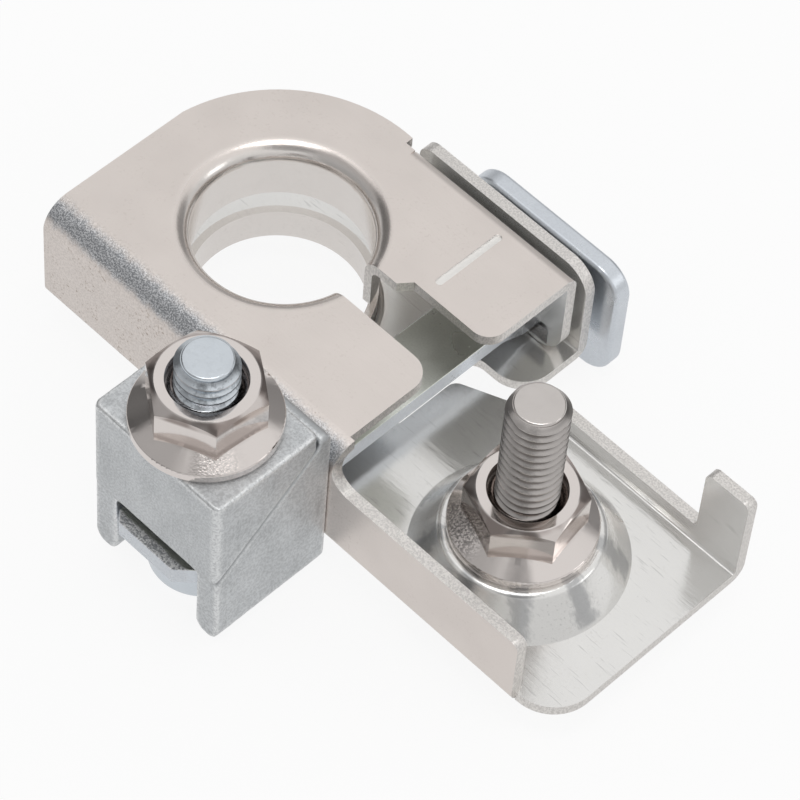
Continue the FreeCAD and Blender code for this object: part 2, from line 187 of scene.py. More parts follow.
class ClampColours(bpy.types.PropertyGroup):
    """Colours of the clamp's metals and of the floor."""

    tin: bpy.props.FloatVectorProperty(
        name="Tinned sheet", description="Colour of the tin plating",
        subtype="COLOR", size=3, min=0, max=1, default=(0.855, 0.788, 0.745))
    polished: bpy.props.FloatVectorProperty(
        name="Polished tray", description="Colour of the drawn tray and its seat",
        subtype="COLOR", size=3, min=0, max=1, default=(0.94, 0.93, 0.91))
    # Painted dark reflections that streak down the polished raised seat
    seat_reflection_streak: bpy.props.FloatVectorProperty(
        name="Seat reflection streak", description="Colour of the painted dark reflections streaking down the raised seat",
        subtype="COLOR", size=3, min=0, max=1, default=(0.34, 0.35, 0.36))
    struck: bpy.props.FloatVectorProperty(
        name="Struck line", description="Colour of the struck line's floor",
        subtype="COLOR", size=3, min=0, max=1, default=(0.95, 0.93, 0.90))
    # Painted dark reflection on the stretched fold, broken into grains
    fold_dark_reflection: bpy.props.FloatVectorProperty(
        name="Fold painted reflection, dark", description="Painted dark reflection along the stretched fold, in grains",
        subtype="COLOR", size=3, min=0, max=1, default=(0.38, 0.39, 0.41))
    fold_bright: bpy.props.FloatVectorProperty(
        name="Fold grain, bright", description="Bright grains along the stretched fold",
        subtype="COLOR", size=3, min=0, max=1, default=(0.88, 0.89, 0.91))
    freckle: bpy.props.FloatVectorProperty(
        name="Freckles", description="Brownish freckles in the plating",
        subtype="COLOR", size=3, min=0, max=1, default=(0.36, 0.29, 0.23))
    cut_edge: bpy.props.FloatVectorProperty(
        name="Cut edge", description="Colour of the sheet's sheared edges",
        subtype="COLOR", size=3, min=0, max=1, default=(0.86, 0.83, 0.80))
    strap: bpy.props.FloatVectorProperty(
        name="Zinc strap", description="Colour of the strap's zinc plating",
        subtype="COLOR", size=3, min=0, max=1, default=(0.76, 0.80, 0.85))
    blade: bpy.props.FloatVectorProperty(
        name="Strap blade", description="Colour of the strap's flat top",
        subtype="COLOR", size=3, min=0, max=1, default=(0.80, 0.82, 0.76))
    torn_dark: bpy.props.FloatVectorProperty(
        name="Torn grain, dark", description="Dark grains at the strap's sheared end",
        subtype="COLOR", size=3, min=0, max=1, default=(0.42, 0.43, 0.45))
    torn_bright: bpy.props.FloatVectorProperty(
        name="Torn grain, bright", description="Bright grains at the strap's sheared end",
        subtype="COLOR", size=3, min=0, max=1, default=(1.0, 1.0, 1.0))
    cast: bpy.props.FloatVectorProperty(
        name="Cast zinc", description="Colour of the wedges' cast skin",
        subtype="COLOR", size=3, min=0, max=1, default=(0.74, 0.76, 0.775))
    cast_worn: bpy.props.FloatVectorProperty(
        name="Worn cast edge", description="Colour where the cast skin is rubbed bright",
        subtype="COLOR", size=3, min=0, max=1, default=(0.88, 0.89, 0.89))
    bolt: bpy.props.FloatVectorProperty(
        name="Zinc bolt", description="Colour of the clamp bolt's plating",
        subtype="COLOR", size=3, min=0, max=1, default=(0.74, 0.79, 0.84))
    nut: bpy.props.FloatVectorProperty(
        name="Stainless nut", description="Colour of both nuts",
        subtype="COLOR", size=3, min=0, max=1, default=(0.80, 0.745, 0.715))
    # Painted dark reflections on the nuts' chamfers and painted shade at the hexagon's foot
    nut_reflection_and_shade: bpy.props.FloatVectorProperty(
        name="Nut chamfer reflection and foot shade", description="Painted dark reflections on the nuts' chamfers and painted shade at their feet",
        subtype="COLOR", size=3, min=0, max=1, default=(0.30, 0.25, 0.23))
    stud: bpy.props.FloatVectorProperty(
        name="Stainless stud", description="Colour of the terminal bolt",
        subtype="COLOR", size=3, min=0, max=1, default=(0.70, 0.66, 0.635))
    floor: bpy.props.FloatVectorProperty(
        name="Floor", description="Colour of the pale floor",
        subtype="COLOR", size=3, min=0, max=1, default=(0.98, 0.98, 0.98))


class ClampStage(bpy.types.PropertyGroup):
    """Floor and light."""

    floor_size: bpy.props.FloatProperty(
        name="Floor size", description="Side of the square floor", default=6.0, unit="LENGTH")
    floor_glow: bpy.props.FloatProperty(
        name="Floor glow", description="Share of the floor that shows the background's brightness",
        default=0.88, min=0, max=1)
    background: bpy.props.FloatProperty(
        name="Background strength", description="Brightness of the background seen by the camera",
        default=1.0, min=0, max=1)
    floor_mirrored: bpy.props.FloatProperty(
        name="Floor in reflections", description="Brightness of the floor seen in the metal",
        default=0.78, min=0, max=1)
    ambient: bpy.props.FloatProperty(
        name="Ambient light", description="Even light of the studio on matte surfaces",
        default=0.85, min=0)
    tent: bpy.props.FloatProperty(
        name="Light tent", description="Brightness of the white tent seen in the metal",
        default=1.02, min=0)
    key_power: bpy.props.FloatProperty(
        name="Overhead softbox power", description="Power of the softbox above, in watts",
        default=0.30, min=0)
    fill_power: bpy.props.FloatProperty(
        name="Side softbox power", description="Power of the softbox to the right, in watts",
        default=0.06, min=0)


def sizes():
    return bpy.context.scene.clamp_sizes


def colours():
    return bpy.context.scene.clamp_colours


def stage_settings():
    return bpy.context.scene.clamp_stage


def solid(colour):
    return tuple(colour) + (1.0,)


class Nodes:
    """Short way to write the nodes and links of a shader tree."""

    def __init__(self, tree):
        self.tree = tree
        tree.nodes.clear()

    def node(self, kind, **settings):
        made = self.tree.nodes.new(kind)
        for key, value in settings.items():
            setattr(made, key, value)
        return made

    def feed(self, source, target):
        """Links a socket to an input, or sets the input to a plain value."""
        if isinstance(source, bpy.types.NodeSocket):
            self.tree.links.new(source, target)
        else:
            target.default_value = source

    def math(self, operation, a, b=0.0):
        made = self.node("ShaderNodeMath", operation=operation)
        self.feed(a, made.inputs[0])
        self.feed(b, made.inputs[1])
        return made.outputs[0]

    def plus(self, a, b):
        return self.math("ADD", a, b)

    def minus(self, a, b):
        return self.math("SUBTRACT", a, b)

    def times(self, a, b):
        return self.math("MULTIPLY", a, b)

    def most(self, a, b):
        return self.math("MAXIMUM", a, b)

    def span(self, value, low, high, to_low=0.0, to_high=1.0):
        """Soft step between two values, from low to high."""
        made = self.node("ShaderNodeMapRange", interpolation_type="SMOOTHSTEP")
        self.feed(value, made.inputs["Value"])
        made.inputs["From Min"].default_value = low
        made.inputs["From Max"].default_value = high
        made.inputs["To Min"].default_value = to_low
        made.inputs["To Max"].default_value = to_high
        return made.outputs["Result"]

    def fall(self, value, low, high):
        """Soft step down, 1 below low and 0 above high."""
        return self.span(value, low, high, 1.0, 0.0)

    def mix_shaders(self, factor, a, b):
        made = self.node("ShaderNodeMixShader")
        for source, socket in zip((factor, a, b), made.inputs):
            self.feed(source, socket)
        return made.outputs[0]


class Finish(Nodes):
    """A metal's material, patterned by the place on the part."""

    def __init__(self, name):
        self.material = bpy.data.materials.new(name)
        self.material.use_nodes = True
        super().__init__(self.material.node_tree)
        self.bsdf = self.node("ShaderNodeBsdfPrincipled")
        out = self.node("ShaderNodeOutputMaterial")
        self.feed(self.bsdf.outputs["BSDF"], out.inputs["Surface"])
        self.place = self.node("ShaderNodeTexCoord").outputs["Object"]
        split = self.node("ShaderNodeSeparateXYZ")
        self.feed(self.place, split.inputs[0])
        self.x, self.y, self.z = split.outputs

    def noise(self, scale, detail, rough, stretch=(1, 1, 1)):
        """Noise of a given number of spots a metre, stretched along the axes."""
        mapping = self.node("ShaderNodeMapping")
        mapping.inputs["Scale"].default_value = stretch
        self.feed(self.place, mapping.inputs["Vector"])
        made = self.node("ShaderNodeTexNoise")
        made.inputs["Scale"].default_value = scale
        made.inputs["Detail"].default_value = detail
        made.inputs["Roughness"].default_value = rough
        self.feed(mapping.outputs["Vector"], made.inputs["Vector"])
        return made.outputs["Fac"]

    def cells(self, scale):
        """Distance to the nearest of a given number of points a metre."""
        made = self.node("ShaderNodeTexVoronoi")
        made.inputs["Scale"].default_value = scale
        self.feed(self.place, made.inputs["Vector"])
        return made.outputs["Distance"]

    def from_axis(self, axis):
        return self.minus(self.x, axis[0]), self.minus(self.y, axis[1])

    def distance(self, axis):
        """Distance from an upright axis."""
        x, y = self.from_axis(axis)
        return self.math("SQRT", self.plus(self.times(x, x), self.times(y, y)))

    def angle(self, axis):
        """Angle round an upright axis, in radians from +X."""
        x, y = self.from_axis(axis)
        return self.math("ARCTAN2", y, x)

    def box(self, low, high, soft):
        """Mask that is 1 inside a box and fades over the soft distance; None is an open side."""
        mask = 1.0
        for place, lower, upper in zip((self.x, self.y, self.z), low, high):
            if lower is not None:
                mask = self.times(mask, self.span(place, lower - soft, lower + soft))
            if upper is not None:
                mask = self.times(mask, self.fall(place, upper - soft, upper + soft))
        return mask

    def layer(self, base, rise, full, drop, gone):
        """Mask of a layer above a base level, by the heights in mm where it comes and goes."""
        above = self.span(self.z, base + rise * MM, base + full * MM)
        return self.times(above, self.fall(self.z, base + drop * MM, base + gone * MM))

    def mix(self, factor, a, b):
        made = self.node("ShaderNodeMix", data_type="RGBA")
        self.feed(factor, made.inputs[MIX_FACTOR])
        self.feed(a, made.inputs[MIX_A])
        self.feed(b, made.inputs[MIX_B])
        return made.outputs[MIX_RESULT]

    def tint(self, colour, amount, factor):
        """Colour that darkens by the amount where the factor is high."""
        return self.mix(factor, solid(colour), solid(c * (1 - amount) for c in colour))

    def bump(self, height, distance, strength, under=None):
        made = self.node("ShaderNodeBump")
        made.inputs["Distance"].default_value = distance
        self.feed(strength, made.inputs["Strength"])
        self.feed(height, made.inputs["Height"])
        if under is not None:
            self.feed(under, made.inputs["Normal"])
        return made.outputs["Normal"]

    def finish(self, colour, roughness, normal, metallic=1.0):
        self.feed(colour, self.bsdf.inputs["Base Color"])
        self.feed(roughness, self.bsdf.inputs["Roughness"])
        self.feed(metallic, self.bsdf.inputs["Metallic"])
        self.feed(normal, self.bsdf.inputs["Normal"])
        return self.material


def fold_reflection_band(s):
    """Mask of the stretched fold's grain and painted dark reflection, by the angle round its axis,
    with a ragged border.
    """
    turn = s.math("ARCTAN2", s.minus(FOLD_AXIS[0], s.y), s.minus(s.z, FOLD_AXIS[1]))
    turn = s.plus(turn, s.times(s.minus(s.noise(900, 5, 0.75), 0.5), 0.6))
    band = s.times(s.span(turn, *FOLD_START), s.fall(turn, *FOLD_STOP))
    return s.times(band, s.fall(s.x, *FOLD_END))


def seat_reflection_streaks(s, drawn):
    """Mask of the painted dark reflections that streak down the raised seat, bent by the drawing
    lines.
    """
    seat = s.times(s.fall(s.distance(TERMINAL_AXIS), *SEAT_RIM), s.span(s.z, *SEAT_FOOT))
    turn = s.plus(s.angle(TERMINAL_AXIS), s.times(drawn, 0.25))
    streak = s.math("COSINE", s.times(turn, SEAT_REFLECTION_STREAKS))
    return s.times(seat, s.span(streak, 0.10, 0.95, 0.0, 0.60))


def tinned_sheet():
    """Tin plating: satin on the arms, sparkling under a painted dark reflection on the fold,
    polished in the tray.
    """
    s = Finish("tinned_sheet_satin")
    c = colours()
    bend = s.box(*BEND_BOX, 0.5 * MM)
    tray = s.box(*TRAY_BOX, 0.4 * MM)
    outer = s.fall(s.y, *OUTER_FACE)
    wall = s.times(s.times(outer, s.fall(s.x, *WALL_END)), s.fall(s.z, *WALL_TOP))
    struck = s.times(s.box(MARK_MIDDLE - MARK_HALF, MARK_MIDDLE + MARK_HALF, 0.05 * MM),
                     s.fall(s.z, *MARK_DEPTH))
    collar = s.fall(s.distance(POST_AXIS), *COLLAR_RIM)
    worked = s.most(bend, wall)
    inside = s.minus(1.0, s.most(s.most(bend, outer), s.span(s.z, *TOP_SKIN)))
    polish = s.most(inside, s.times(collar, 0.7))
    inside = s.times(inside, s.minus(1.0, s.times(collar, 0.6)))
    grain = s.noise(4600, 3, 0.65)
    cloud = s.noise(160, 3, 0.5)
    drawn = s.noise(900, 3, 0.6, (0.25, 1.6, 1.0))

    relief = s.plus(s.plus(s.times(worked, 0.50), 0.12), s.times(struck, 0.4))
    relief = s.times(relief, s.span(tray, 0, 1, 1.0, 0.30))
    normal = s.bump(grain, 0.05 * MM, relief)
    normal = s.bump(drawn, 0.12 * MM, s.span(tray, 0, 1, 0.10, 0.16), normal)
    rough = s.plus(s.span(cloud, 0.3, 0.7, 0.32, 0.36), s.times(grain, 0.08))
    rough = s.times(rough, s.span(polish, 0, 1, 1.0, 0.48))

    scratch = s.span(s.noise(5200, 2, 0.5, (0.08, 1.0, 1.0)), 0.62, 0.70)
    fouled = s.most(s.times(scratch, 0.5), s.fall(s.cells(700), 0.0, 0.07))
    polished = s.tint(c.polished, 0.30, s.plus(s.times(cloud, 0.25), fouled))
    # Painted dark reflections streaking down the raised seat
    polished = s.mix(seat_reflection_streaks(s, drawn), polished, solid(c.seat_reflection_streak))
    colour = s.mix(inside, s.tint(c.tin, 0.10, cloud), polished)
    sparkle = s.tint(c.tin, 0.45, s.span(grain, 0.40, 0.62))
    colour = s.mix(s.times(worked, 0.30), colour, sparkle)
    colour = s.mix(struck, colour, solid(c.struck))
    freckles = s.times(s.span(s.noise(3300, 3, 0.6), 0.56, 0.66),
                       s.span(s.noise(420, 3, 0.6), 0.42, 0.64))
    rubbed = s.plus(s.most(s.times(wall, 0.75), s.times(bend, 0.45)), 0.10)
    colour = s.mix(s.times(freckles, rubbed), colour, solid(c.freckle))
    # Painted dark reflection on the fold, broken into the stretched sheet's dark and bright grains
    glitter = s.span(s.noise(7000, 2, 0.6), 0.44, 0.58)
    fold = s.mix(glitter, solid(c.fold_dark_reflection), solid(c.fold_bright))
    colour = s.mix(fold_reflection_band(s), colour, fold)
    return s.finish(colour, rough, normal, s.span(inside, 0, 1, 1.0, 0.78))


def cut_edge():
    """Sheared edge: bright, with a fine torn grain."""
    s = Finish("tinned_cut_edge")
    torn = s.noise(5600, 3, 0.65, (1.0, 1.0, 0.6))
    pits = s.span(s.cells(5200), 0.05, 0.40)
    normal = s.bump(s.plus(torn, s.times(pits, 0.5)), 0.05 * MM, 0.60)
    return s.finish(s.tint(colours().cut_edge, 0.22, s.fall(torn, 0.40, 0.60)), 0.40, normal)


def zinc_plate(name, plating, share):
    """Zinc plating with fine rolling lines and a sheared end that sparkles by the given share."""
    s = Finish(name)
    c = colours()
    lines = s.noise(2600, 3, 0.6, (1.0, 0.12, 1.0))
    cloud = s.noise(230, 4, 0.6)
    grain = s.noise(5000, 3, 0.6)
    specks = s.fall(s.cells(900), 0.0, 0.12)
    sheared = s.fall(s.plus(s.y, s.times(s.minus(cloud, 0.5), MM)), *STRAP_SHEARED)
    normal = s.bump(s.plus(lines, s.times(grain, 0.6)), 0.03 * MM, 0.35)
    normal = s.bump(grain, 0.08 * MM, sheared, normal)
    shade = s.plus(s.times(cloud, 0.6), s.times(specks, 0.4))
    shade = s.plus(shade, s.times(s.span(grain, 0.45, 0.6), 0.3))
    torn = s.mix(s.span(grain, 0.42, 0.58), solid(c.torn_dark), solid(c.torn_bright))
    colour = s.mix(s.times(sheared, share), s.tint(plating, 0.16, shade), torn)
    metal = s.minus(0.94, s.times(sheared, 0.45 * share))
    return s.finish(colour, s.span(cloud, 0.3, 0.7, 0.24, 0.38), normal, metal)


def cast_skin():
    """Matte cast zinc with a sandy skin, small pits, a dark joint and edges rubbed bright."""
    s = Finish("cast_zinc_skin")
    c = colours()
    sand = s.noise(4200, 4, 0.7)
    flow = s.noise(300, 4, 0.6, (1.0, 1.0, 0.6))
    pits = s.fall(s.cells(1700), 0.0, 0.13)
    scars = s.span(s.noise(700, 4, 0.7, (1.0, 1.0, 0.25)), 0.60, 0.70)
    worn = s.node("ShaderNodeAttribute", attribute_name="worn").outputs["Fac"]
    incline = s.plus(WEDGE_FOOT[1], s.times(WEDGE_SLOPE, s.minus(s.y, WEDGE_FOOT[0])))
    off = s.math("ABSOLUTE", s.minus(s.z, incline))
    rub = s.times(worn, s.span(sand, 0.36, 0.60, 0.25, 1.0))
    rub = s.times(rub, s.span(off, 0.25 * MM, 0.7 * MM, 0.15, 1.0))
    joint = s.fall(off, 0.10 * MM, 0.30 * MM)
    normal = s.bump(sand, 0.04 * MM, 0.40)
    normal = s.bump(pits, 0.05 * MM, 0.35, normal)
    normal = s.bump(flow, 0.20 * MM, 0.22, normal)
    shade = s.times(flow, 0.5)
    for mask, share in ((pits, 0.6), (s.fall(sand, 0.42, 0.58), 0.55), (scars, 0.40), (joint, 1.9)):
        shade = s.plus(shade, s.times(mask, share))
    colour = s.mix(s.times(rub, 0.8), s.tint(c.cast, 0.34, shade), solid(c.cast_worn))
    rough = s.minus(s.span(flow, 0.3, 0.7, 0.42, 0.55), s.times(rub, 0.16))
    return s.finish(colour, rough, normal, 0.94)


def thread_groove_shade(s, axis, tip):
    """Mask of painted shade that is 1 at the bottom of the thread round an axis and 0 on its crests
    and tip.
    """
    groove = s.fall(s.distance(axis), *THREAD_DEPTHS)
    return s.times(groove, s.fall(s.z, tip - 0.6 * MM, tip - 0.3 * MM))


def zinc_bolt():
    """Blue zinc plating with painted shade down in the thread, blotched along it."""
    s = Finish("zinc_bolt_blue")
    cloud = s.noise(500, 3, 0.6)
    normal = s.bump(s.noise(3600, 3, 0.6), 0.02 * MM, 0.3)
    along = s.times(s.span(s.z, TIP_LEVEL - 0.7 * MM, TIP_LEVEL - 0.2 * MM, 0.40, 0.06),
                    s.span(s.z, CLAMP_SEAT, CLAMP_SEAT + MM))
    blotch = s.times(s.span(s.noise(1500, 3, 0.65), 0.50, 0.60), along)
    # Painted shade down in the thread's grooves
    groove = s.times(thread_groove_shade(s, CLAMP_AXIS, TIP_LEVEL), 0.8)
    shade = s.plus(s.plus(s.times(cloud, 0.18), groove), blotch)
    colour = s.tint(colours().bolt, 0.62, shade)
    return s.finish(colour, s.span(cloud, 0.3, 0.7, 0.14, 0.24), normal)


def bright_stud():
    """Stainless stud, darker below its top face, with painted shade down in the thread."""
    s = Finish("stainless_stud")
    cloud = s.noise(420, 3, 0.6)
    normal = s.bump(s.noise(5200, 3, 0.6, (1.0, 1.0, 0.2)), 0.02 * MM, 0.35)
    shank = s.span(s.z, STUD_LEVEL - 0.5 * MM, STUD_LEVEL - 0.1 * MM, 0.34, 0.0)
    # Painted shade down in the thread's grooves
    groove = s.times(thread_groove_shade(s, TERMINAL_AXIS, STUD_LEVEL), 0.48)
    shade = s.plus(s.plus(s.times(cloud, 0.2), groove), shank)
    colour = s.tint(colours().stud, 0.68, shade)
    return s.finish(colour, s.span(cloud, 0.3, 0.7, 0.16, 0.24), normal)


def bright_nut(name, axis, seat, sector, depth):
    """Polished stainless nut with a stippled patch on one sector of its flange, a painted dark
    reflection on its chamfer and painted shade at the hexagon's foot.
    """
    s = Finish(name)
    c = colours()
    start, end = (math.radians(v) for v in sector)
    angle = s.angle(axis)
    patch = s.times(s.span(angle, start - 0.2, start + 0.2), s.fall(angle, end - 0.2, end + 0.2))
    patch = s.times(patch, s.layer(seat, 1.05, 1.25, 2.1, 2.3))
    stipple = s.noise(4600, 3, 0.6)
    turned = s.noise(700, 2, 0.5)
    normal = s.bump(stipple, 0.05 * MM, s.times(patch, 0.8))
    normal = s.bump(turned, 0.03 * MM, 0.12, normal)
    colour = s.tint(c.nut, depth, s.times(patch, s.fall(stipple, 0.42, 0.60)))
    # Painted dark reflection on the chamfer, made uneven, and painted shade where the hexagon meets
    # the flange
    uneven = s.span(s.noise(260, 2, 0.5), 0.38, 0.56, 0.20, 0.90)
    chamfer = s.times(s.layer(seat, 4.9, 5.35, 5.90, 5.98), uneven)
    foot = s.times(s.layer(seat, 2.0, 2.3, 2.5, 3.1), 0.45)
    colour = s.mix(s.most(chamfer, foot), colour, solid(c.nut_reflection_and_shade))
    rough = s.plus(s.span(turned, 0.3, 0.7, 0.07, 0.12), s.times(patch, 0.16))
    return s.finish(colour, rough, normal)


def cad_mesh(node):
    """Merged copy of a CAD node's mesh, with its flat faces whole."""
    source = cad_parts[node]
    mesh = bmesh.new()
    mesh.from_mesh(source.data)
    mesh.transform(source.matrix_world)
    bmesh.ops.remove_doubles(mesh, verts=mesh.verts, dist=0.002 * MM)
    bmesh.ops.dissolve_limit(mesh, angle_limit=math.radians(0.6), use_dissolve_boundaries=False,
                             verts=mesh.verts, edges=mesh.edges, delimit={"NORMAL"})
    return mesh


def is_cut_edge(face, sheet):
    """True for a narrow flat face about as wide as the sheet is thick."""
    half = sum(edge.calc_length() for edge in face.edges) / 2
    return abs(face.calc_area() - sheet * (half - sheet)) < 0.12 * sheet * half


def add_object(name, mesh, materials):
    data = bpy.data.meshes.new(name)
    mesh.to_mesh(data)
    mesh.free()
    piece = bpy.data.objects.new(name, data)
    bpy.context.scene.collection.objects.link(piece)
    for material in materials:
        data.materials.append(material)
    return piece


def round_edges(mesh, angle):
    """Weights the edges that are sharper than the angle for the bevel."""
    layer = mesh.edges.layers.float.new("bevel_weight_edge")
    for edge in mesh.edges:
        if len(edge.link_faces) == 2 and edge.calc_face_angle(0.0) > math.radians(angle):
            edge[layer] = 1.0
    for face in mesh.faces:
        face.smooth = True


def bevel(piece, width, segments):
    """Rounds the weighted edges and keeps the flat faces' shading flat."""
    made = piece.modifiers.new("edge_rounding", "BEVEL")
    made.limit_method = "WEIGHT"
    made.width = width
    made.segments = segments
    made.use_clamp_overlap = True
    made.miter_outer = "MITER_ARC"
    weighted = piece.modifiers.new("even_shading", "WEIGHTED_NORMAL")
    weighted.mode = "FACE_AREA_WITH_ANGLE"
    weighted.keep_sharp = True
    weighted.weight = 50


def settle(piece):
    """Applies every modifier, so that the piece is a plain mesh."""
    bpy.context.view_layer.update()
    graph = bpy.context.evaluated_depsgraph_get()
    made = bpy.data.meshes.new_from_object(piece.evaluated_get(graph))
    piece.modifiers.clear()
    old = piece.data
    piece.data = made
    bpy.data.meshes.remove(old)


def hand_in(piece, body, slot, *nodes):
    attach(piece, body)
    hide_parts(*nodes)


def mark_faces(mesh, low, high):
    """Keeps the struck line in the sheet's own finish and leaves its edges crisp."""
    layer = mesh.edges.layers.float["bevel_weight_edge"]
    for face in mesh.faces:
        middle = face.calc_center_median()
        if all(low[axis] < middle[axis] < high[axis] for axis in range(3)):
            face.material_index = 0
            for edge in face.edges:
                edge[layer] = 0.0


class CLAMP_OT_body(bpy.types.Operator):
    """Folded sheet body with its cut edges, bends and polished tray"""

    bl_idname = "clamp.body"
    bl_label = "Clamp body"

    def execute(self, context):
        mesh = cad_mesh("clamp_body")
        for face in mesh.faces:
            if is_cut_edge(face, sizes().sheet):
                face.material_index = 1
        round_edges(mesh, SHEET_SHARP)
        mark_faces(mesh, MARK_MIDDLE - Vector((0.6, 4.4, 0.25)) * MM,
                   MARK_MIDDLE + Vector((0.6, 4.4, -0.05)) * MM)
        piece = add_object("clamp_body_sheet", mesh, [tinned_sheet(), cut_edge()])
        bevel(piece, sizes().edge_round, 2)
        settle(piece)
        hand_in(piece, "clamp", "tinned_sheet", "clamp_body")
        return {"FINISHED"}


class CLAMP_OT_strap(bpy.types.Operator):
    """Draw strap with its head plate"""

    bl_idname = "clamp.strap"
    bl_label = "Draw strap"

    def execute(self, context):
        mesh = cad_mesh("draw_strap")
        for face in mesh.faces:
            if face.normal.z > 0.7 and face.calc_center_median().y < BLADE_END:
                face.material_index = 1
        round_edges(mesh, SHEET_SHARP)
        piece = add_object("draw_strap_plate", mesh,
                           [zinc_plate("zinc_strap_bluish", colours().strap, 0.15),
                            zinc_plate("zinc_strap_blade", colours().blade, 1.0)])
        bevel(piece, sizes().edge_round, 3)
        settle(piece)
        hand_in(piece, "strap", "zinc_strap", "draw_strap")
        return {"FINISHED"}


def mesh_arrays(data):
    """Places and normals of a mesh's vertices, as rows."""
    places = numpy.empty(len(data.vertices) * 3)
    normals = numpy.empty(len(data.vertices) * 3)
    data.vertices.foreach_get("co", places)
    data.vertices.foreach_get("normal", normals)
    return places.reshape(-1, 3), normals.reshape(-1, 3)


def move_vertices(data, places):
    data.vertices.foreach_set("co", places.ravel())
    data.update()


def mark_worn(piece, full):
    """Stores on each vertex, from 0 to 1, how far the surface bulges there, 1 at the full bulge."""
    data = piece.data
    places, normals = mesh_arrays(data)
    ends = numpy.empty(len(data.edges) * 2, dtype=int)
    data.edges.foreach_get("vertices", ends)
    ends = ends.reshape(-1, 2)
    near = numpy.bincount(ends.ravel(), minlength=len(places))[:, None]

    def average(values):
        total = numpy.zeros_like(values)
        numpy.add.at(total, ends[:, 0], values[ends[:, 1]])
        numpy.add.at(total, ends[:, 1], values[ends[:, 0]])
        return total / near

    bulge = ((places - average(places)) * normals).sum(axis=1, keepdims=True)
    for _ in range(3):
        bulge = (bulge + average(bulge)) / 2
    layer = data.attributes.new("worn", "FLOAT", "POINT")
    layer.data.foreach_set("value", numpy.clip(bulge / full, 0, 1).ravel())


def roughen(piece, depth, spots):
    """Sinks the skin by up to the depth, in soft uneven spots, so many a metre."""
    places, normals = mesh_arrays(piece.data)
    spot = numpy.array([noise.fractal(Vector(place) * spots, 0.6, 2.0, 3) for place in places])
    places -= normals * depth * numpy.clip(0.5 + 0.5 * spot, 0, 1)[:, None]
    move_vertices(piece.data, places)


def square_toes(piece, corner):
    """Brings the legs' front bottom edge forward, from the solid's rounding to the seen one."""
    places, _ = mesh_arrays(piece.data)
    above = places[:, 2] - corner.z

    def inset(radius):
        short = numpy.clip(radius - above, 0, radius)
        return radius - numpy.sqrt(radius ** 2 - short ** 2)

    depth = places[:, 1] - corner.y - inset(TOE_CAD)
    share = numpy.clip(1 - depth / TOE_REACH, 0, 1)
    places[:, 1] -= (inset(TOE_CAD) - inset(TOE_SEEN)) * share
    move_vertices(piece.data, places)


class CLAMP_OT_wedges(bpy.types.Operator):
    """Cast wedge pair with worn edges"""

    bl_idname = "clamp.wedges"
    bl_label = "Wedge pair"

    def execute(self, context):
        given = sizes()
        skin = cast_skin()
        for node, body in (("lower_wedge", "clamp"), ("upper_wedge", "wedge")):
            piece = add_object(node + "_cast", cad_mesh(node), [skin])
            made = piece.modifiers.new("skin", "REMESH")
            made.mode = "VOXEL"
            made.voxel_size = given.cast_grain
            made.use_smooth_shade = True
            made = piece.modifiers.new("wear", "SMOOTH")
            made.factor = 0.5
            made.iterations = given.cast_wear
            settle(piece)
            if node == "lower_wedge":
                square_toes(piece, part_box(node)[0])
            mark_worn(piece, 0.04 * given.cast_grain)
            roughen(piece, given.cast_dents, 900)
            hand_in(piece, body, "cast_zinc", node)
        return {"FINISHED"}


class CLAMP_OT_nuts(bpy.types.Operator):
    """Both hexagon flange nuts"""

    bl_idname = "clamp.nuts"
    bl_label = "Flange nuts"

    def execute(self, context):
        rows = (
            ("clamp_nut", "clamping_nut", CLAMP_AXIS, CLAMP_SEAT, (-50, -15), 0.12),
            ("terminal_nut", "lug_nut", TERMINAL_AXIS, TERMINAL_SEAT, (-150, -95), 0.6),
        )
        for node, body, axis, seat, sector, depth in rows:
            mesh = cad_mesh(node)
            round_edges(mesh, NUT_SHARP)
            material = bright_nut(node + "_stainless", axis, seat, sector, depth)
            piece = add_object(node + "_hexagon", mesh, [material])
            bevel(piece, sizes().nut_round, 3)
            settle(piece)
            hand_in(piece, body, "bright_nut", node)
        return {"FINISHED"}


